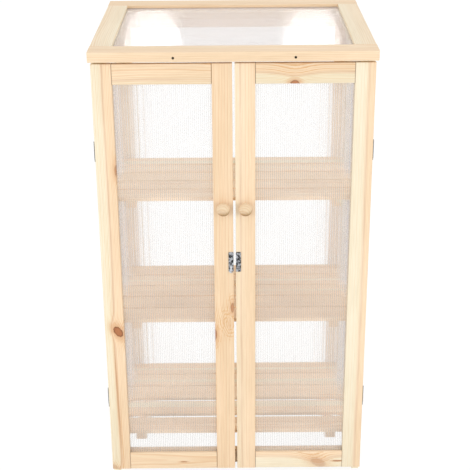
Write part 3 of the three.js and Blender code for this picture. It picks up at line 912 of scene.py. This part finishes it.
def screw_head(made, centre, outward, radius, turn):
    """Adds a low domed head with a cross recess, its back on centre, facing outward."""
    rise = 0.22 * radius
    slot_reach = 0.62 * radius
    slot_half = 0.13 * radius
    depth = 0.3 * radius
    crown_share, shoulder_share = 0.82, 0.35
    steps = 24
    outward = outward.normalized()
    side = Matrix.Rotation(turn, 3, outward) @ outward.orthogonal().normalized()
    other = outward.cross(side)

    def put(x, y, height):
        return made.verts.new(centre + side * x + other * y + outward * height)

    def ring(share, height):
        angles = [math.tau * step / steps for step in range(steps)]
        return [put(radius * share * math.cos(a), radius * share * math.sin(a), height) for a in angles]

    def bridge(first, second):
        for index in range(len(first)):
            after = (index + 1) % len(first)
            made.faces.new((first[index], first[after], second[after], second[index]))

    foot = ring(1.0, 0.0)
    shoulder = ring(1.0, shoulder_share * rise)
    crown = ring(crown_share, rise)
    bridge(foot, shoulder)
    bridge(shoulder, crown)
    made.faces.new(foot[::-1])
    corners = []
    for quarter in range(4):
        angle = quarter * math.pi / 2
        forward = Vector((math.cos(angle), math.sin(angle)))
        across = Vector((-forward.y, forward.x)) * slot_half
        corners += [forward * slot_reach - across, forward * slot_reach + across]
        corners.append(forward * slot_half + across)
    brink = [put(c.x, c.y, rise) for c in corners]
    floor = [put(c.x, c.y, rise - depth) for c in corners]
    edges = [made.edges.new((brink[i], brink[(i + 1) % len(brink)])) for i in range(len(brink))]
    edges += [made.edges.get((crown[i], crown[(i + 1) % steps])) for i in range(steps)]
    bmesh.ops.triangle_fill(made, edges=edges, use_beauty=True)
    bridge(brink, floor)
    made.faces.new(floor)


def screws_piece(name, places, radius, material, body):
    """Screws, each a place and the way it faces, as one piece."""
    rng = random.Random(name)
    made = bmesh.new()
    for centre, outward in places:
        screw_head(made, centre, outward, radius, rng.uniform(0, math.pi / 2))
    bmesh.ops.recalc_face_normals(made, faces=made.faces)
    mesh = bpy.data.meshes.new(name)
    made.to_mesh(mesh)
    made.free()
    return new_piece(name, mesh, material, body)


def lid_screws(fittings, black):
    """Two black screws in the front edge of the lid."""
    outward = -UPHILL
    thickness_way = RIGHT.cross(UPHILL)
    _, face = extent("lid_front_rail", outward)
    bottom, top = extent("lid_front_rail", thickness_way)
    height = bottom + (top - bottom) * LID_SCREW_RISE
    places = [(RIGHT * x + outward * face + thickness_way * height, outward) for x in LID_SCREW_PLACES]
    screws_piece("lid_screws", places, fittings.lid_screw, black, "lid")


def leaf_screws(name, nodes, ways, share, fittings, steel, body):
    """Three screws in each of some hinge leaves, a share of the way across the leaf."""
    outward, across, along = ways
    places = []
    for node in nodes:
        inner, _ = extent(node, outward)
        start, end = extent(node, across)
        middle = sum(extent(node, along)) / 2
        base = outward * (inner + HINGE_LEAF) + across * (start + (end - start) * share)
        places += [(base + along * (middle + shift), outward) for shift in HINGE_SCREW_SHIFTS]
    screws_piece(name, places, fittings.hinge_screw, steel, body)


def hinge_screws(fittings, steel):
    """The screws of the four door hinges and the two lid hinges."""
    for side, outward in (("left", -RIGHT), ("right", RIGHT)):
        for leaf, body, share in (("fixed_leaf", "cabinet", 0.68), ("moving_leaf", side + "_door", 0.32)):
            nodes = [f"{side}_door_{level}_hinge_{leaf}" for level in ("lower", "upper")]
            name = f"{side}_hinge_screws_{leaf}"
            leaf_screws(name, nodes, (outward, BACK, UP), share, fittings, steel, body)
    lid_leaves = (("fixed_leaf", "cabinet", BACK, 0.3), ("moving_leaf", "lid", UPHILL, 0.7))
    for leaf, body, outward, share in lid_leaves:
        nodes = [f"lid_{side}_hinge_{leaf}" for side in ("left", "right")]
        ways = (outward, RIGHT.cross(outward), RIGHT)
        leaf_screws(f"lid_hinge_screws_{leaf}", nodes, ways, share, fittings, steel, body)


def latch_screws(fittings, zinc):
    """Two screws in each plate of the latch."""
    for plate, body in (("latch_pivot_plate", "left_door"), ("latch_keeper_plate", "right_door")):
        centre = centre_of(plate)
        centre.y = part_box(plate)[1].y - LATCH_PLATE
        places = [(centre + UP * shift, -BACK) for shift in LATCH_SCREW_SHIFTS]
        screws_piece(plate + "_screws", places, fittings.latch_screw, zinc, body)


def frame_screws(fittings, steel):
    """Screws through the back frame into the sides' rear legs."""
    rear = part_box("back_left_stile")[1].y
    places = [(Vector((x, rear, z)), BACK) for x in FRAME_SCREW_PLACES for z in FRAME_SCREW_HEIGHTS]
    screws_piece("back_frame_screws", places, fittings.frame_screw, steel, "cabinet")


# Stage

def camera_or_mirror(graph):
    """1 for rays that show the surroundings to the camera, straight, mirrored or through glass."""
    return graph.is_ray("Is Camera Ray", "Is Glossy Ray", "Is Transmission Ray")


def build_world(stage):
    """Even light of the sky's strength, seen as white."""
    world = bpy.data.worlds.new("studio")
    bpy.context.scene.world = world
    world.use_nodes = True
    graph = Graph(world.node_tree)
    strength = camera_or_mirror(graph) * (1.0 - stage.sky) + stage.sky
    graph.feed_all(world.node_tree.nodes["Background"], {"Color": WHITE, "Strength": strength})


def floor_material(stage):
    """A pale floor that looks white where it is lit and keeps the soft shadow."""
    glow_share, shade_share, rough = 0.9, 0.14, 0.9
    material, graph, shader = new_material("pale_floor")
    grain = graph.noise(graph.point(), 3.0, 3.0)
    colour = graph.mix(grain, stage.floor, [c * 0.985 for c in stage.floor])
    graph.feed_all(shader, {"Base Color": colour, "Roughness": rough, "Specular IOR Level": 0.0})
    glow = graph.shader("ShaderNodeEmission", Color=WHITE, Strength=glow_share)
    shade = graph.shader("ShaderNodeBsdfDiffuse", Color=(shade_share, shade_share, shade_share))
    seen = graph.first(graph.node("ShaderNodeAddShader", {0: glow, 1: shade}))
    show(material, graph, graph.mix_shaders(camera_or_mirror(graph), graph.first(shader), seen))
    return material


def build_floor(stage):
    reach = 30.0
    corners = [(-reach, -reach, 0), (reach, -reach, 0), (reach, reach, 0), (-reach, reach, 0)]
    floor = new_object("floor", mesh_from("floor", corners, [(0, 1, 2, 3)]))
    floor.data.materials.append(floor_material(stage))


def build_softbox(name, place, target, size, brightness, shape):
    """An area lamp of a given brightness that looks at a point."""
    width, height = size
    lamp = bpy.data.lights.new(name, "AREA")
    lamp.shape = shape
    lamp.size = width
    lamp.size_y = height
    area = width * height * (math.pi / 4 if shape == "ELLIPSE" else 1)
    lamp.energy = brightness * area * math.pi
    softbox = new_object(name, lamp)
    softbox.location = place
    softbox.rotation_euler = (Vector(target) - Vector(place)).to_track_quat("-Z", "Y").to_euler()
    softbox.visible_camera = False


def build_lights(stage):
    """A softbox to each side of the camera, and two behind that the lid mirrors."""
    sides = (("left", -1), ("right", 1))
    for side, way in sides:
        place = (2.6 * way, -2.5, 1.45)
        build_softbox(side + "_softbox", place, (0, 0, 0.4), (1.2, 1.2), stage.key, "SQUARE")
    for side, way in sides:
        place = (0.56 * way, 3.8, 3.05)
        build_softbox(f"rear_{side}_softbox", place, (0, 0, 1.2), (0.42, 0.64), stage.rear, "ELLIPSE")


def build_camera(stage):
    """The camera of the photograph, as solved from the doors, the lid and the shelves."""
    pitch, yaw, roll = math.radians(18.864), math.radians(0.096), math.radians(-0.416)
    place = Vector((-2.2, -2463.75, 1531.0)) * MM
    forward = Vector((math.sin(yaw) * math.cos(pitch), math.cos(yaw) * math.cos(pitch), -math.sin(pitch)))
    right = Vector((math.cos(yaw), -math.sin(yaw), 0))
    up = right.cross(forward)
    turned_right = right * math.cos(roll) + up * math.sin(roll)
    turned_up = up * math.cos(roll) - right * math.sin(roll)
    camera = bpy.data.cameras.new("camera")
    camera.lens = stage.focal_length
    camera.sensor_width = 36
    camera.shift_y = stage.shift
    camera.clip_start = 0.05
    camera.clip_end = 200
    holder = new_object("camera", camera)
    rotation = Matrix((turned_right, turned_up, -forward)).transposed()
    holder.matrix_world = Matrix.Translation(place) @ rotation.to_4x4()
    bpy.context.scene.camera = holder


# Operators

class GREENHOUSE_OT_stage(bpy.types.Operator):
    """Sets up the pale floor, the studio lights and the camera"""

    bl_idname = "greenhouse.stage"
    bl_label = "Stage"

    def execute(self, context):
        stage = context.scene.greenhouse_stage
        context.scene.view_settings.view_transform = "Standard"
        context.scene.cycles.transparent_max_bounces = 48
        build_world(stage)
        build_floor(stage)
        build_lights(stage)
        build_camera(stage)
        return {"FINISHED"}


class GREENHOUSE_OT_boards(bpy.types.Operator):
    """Gives every board of the cabinet, the doors and the lid its own cut of pine"""

    bl_idname = "greenhouse.boards"
    bl_label = "Pine boards"

    def execute(self, context):
        build_trees(context.scene.greenhouse_timber)
        boards = sorted(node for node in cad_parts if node.endswith(BOARD_ENDINGS))
        if not boards:
            raise RuntimeError("the frame has no boards")
        rng = random.Random("boards")
        for node in boards:
            look = BOARD_LOOKS.get(node) or random_look(rng)
            along, across = board_axes(node)
            give(node, pine_material(node, look, across, along, shown_half(node)))
        return {"FINISHED"}


class GREENHOUSE_OT_shelves(bpy.types.Operator):
    """Gives the slats and battens of each shelf their own cuts of pine"""

    bl_idname = "greenhouse.shelves"
    bl_label = "Slatted shelves"

    def execute(self, context):
        build_trees(context.scene.greenhouse_timber)
        for index, (node, tone) in enumerate(SHELF_TONES.items()):
            give(node, shelf_material(node, 3.0 + 11 * index, tone))
        return {"FINISHED"}


class GREENHOUSE_OT_knobs(bpy.types.Operator):
    """Turns the two round knobs"""

    bl_idname = "greenhouse.knobs"
    bl_label = "Turned knobs"

    def execute(self, context):
        build_trees(context.scene.greenhouse_timber)
        along = (RIGHT * 0.9 - UP * 0.4).normalized()
        across = BACK.cross(along)
        for side, pith in (("left", (-12, 14)), ("right", (-16, 10))):
            node = side + "_knob"
            name = side + "_turned_knob"
            look = BoardLook(pith, 38, 31.0 + pith[0], tone=-0.12, wander=4, figure=0.7, soft=30)
            material = pine_material(node, look, across, along)
            # Painted shade on the underside of each knob
            paint_knob_underside_shade(material, look.tone)
            mesh = turned_knob(name, node, context.scene.greenhouse_stage.facets)
            piece = new_piece(name, mesh, material, side + "_door")
            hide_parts(node)
        return {"FINISHED"}


class GREENHOUSE_OT_sheets(bpy.types.Operator):
    """Makes the twin-wall sheets of the doors, the sides, the back and the lid"""

    bl_idname = "greenhouse.sheets"
    bl_label = "Twin-wall sheets"

    def execute(self, context):
        sheet = context.scene.greenhouse_sheet
        for node, (body, across, through, along, forward) in SHEETS.items():
            name = node + "_fluted"
            mesh, first_flute = twin_wall_mesh(name, node, across, through, along, sheet)
            hazes = (sheet.haze, sheet.rib_haze)
            if body.endswith("door"):
                hazes = (sheet.door_haze, sheet.door_rib_haze)
            material = sheet_material(node, sheet, across, through, first_flute, hazes, forward)
            piece = new_piece(name, mesh, material, body)
            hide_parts(node)
        return {"FINISHED"}


class GREENHOUSE_OT_fittings(bpy.types.Operator):
    """Finishes the hinges and the latch, and drives their screws"""

    bl_idname = "greenhouse.fittings"
    bl_label = "Hinges, latch and screws"

    def execute(self, context):
        fittings = context.scene.greenhouse_fittings
        steel = metal_material("hinge_steel", fittings.steel, 0.42, 0.2)
        # Painted reflection: the latch zinc's strong dull and bright blotches stand in for the
        # surroundings it mirrors
        zinc = metal_material("latch_zinc", fittings.zinc, 0.3, 0.85)
        hook = metal_material("latch_hook_zinc", fittings.hook, 0.25, 0.3)
        black = metal_material("black_screws", fittings.black, 0.4, 0.2)
        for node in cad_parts:
            if node.endswith("leaf"):
                give(node, steel)
            elif node.startswith("latch_"):
                give(node, hook if node.endswith("hook") else zinc)
        lid_screws(fittings, black)
        hinge_screws(fittings, steel)
        latch_screws(fittings, zinc)
        frame_screws(fittings, steel)
        return {"FINISHED"}


OPERATORS = (
    GREENHOUSE_OT_stage,
    GREENHOUSE_OT_boards,
    GREENHOUSE_OT_shelves,
    GREENHOUSE_OT_knobs,
    GREENHOUSE_OT_sheets,
    GREENHOUSE_OT_fittings,
)
SETTINGS = {
    "greenhouse_timber": GreenhouseTimber,
    "greenhouse_sheet": GreenhouseSheet,
    "greenhouse_fittings": GreenhouseFittings,
    "greenhouse_stage": GreenhouseStage,
}


class GREENHOUSE_PT_panel(bpy.types.Panel):
    """Lists what finishes the greenhouse"""

    bl_idname = "GREENHOUSE_PT_panel"
    bl_label = "Mini Greenhouse"
    bl_space_type = "VIEW_3D"
    bl_region_type = "UI"
    bl_category = "Greenhouse"

    def draw(self, context):
        for operator in OPERATORS:
            self.layout.operator(operator.bl_idname)
        for name, group in SETTINGS.items():
            settings = getattr(context.scene, name)
            box = self.layout.box()
            for field in group.__annotations__:
                box.prop(settings, field)


CLASSES = (*SETTINGS.values(), *OPERATORS, GREENHOUSE_PT_panel)


def register():
    for made in CLASSES:
        bpy.utils.register_class(made)
    for name, group in SETTINGS.items():
        setattr(bpy.types.Scene, name, PointerProperty(type=group))


def unregister():
    for name in SETTINGS:
        delattr(bpy.types.Scene, name)
    for made in reversed(CLASSES):
        bpy.utils.unregister_class(made)


def main():
    register()
    bpy.ops.greenhouse.stage()
    bpy.ops.greenhouse.boards()
    bpy.ops.greenhouse.shelves()
    bpy.ops.greenhouse.knobs()
    bpy.ops.greenhouse.sheets()
    bpy.ops.greenhouse.fittings()


if __name__ == "__main__":
    main()
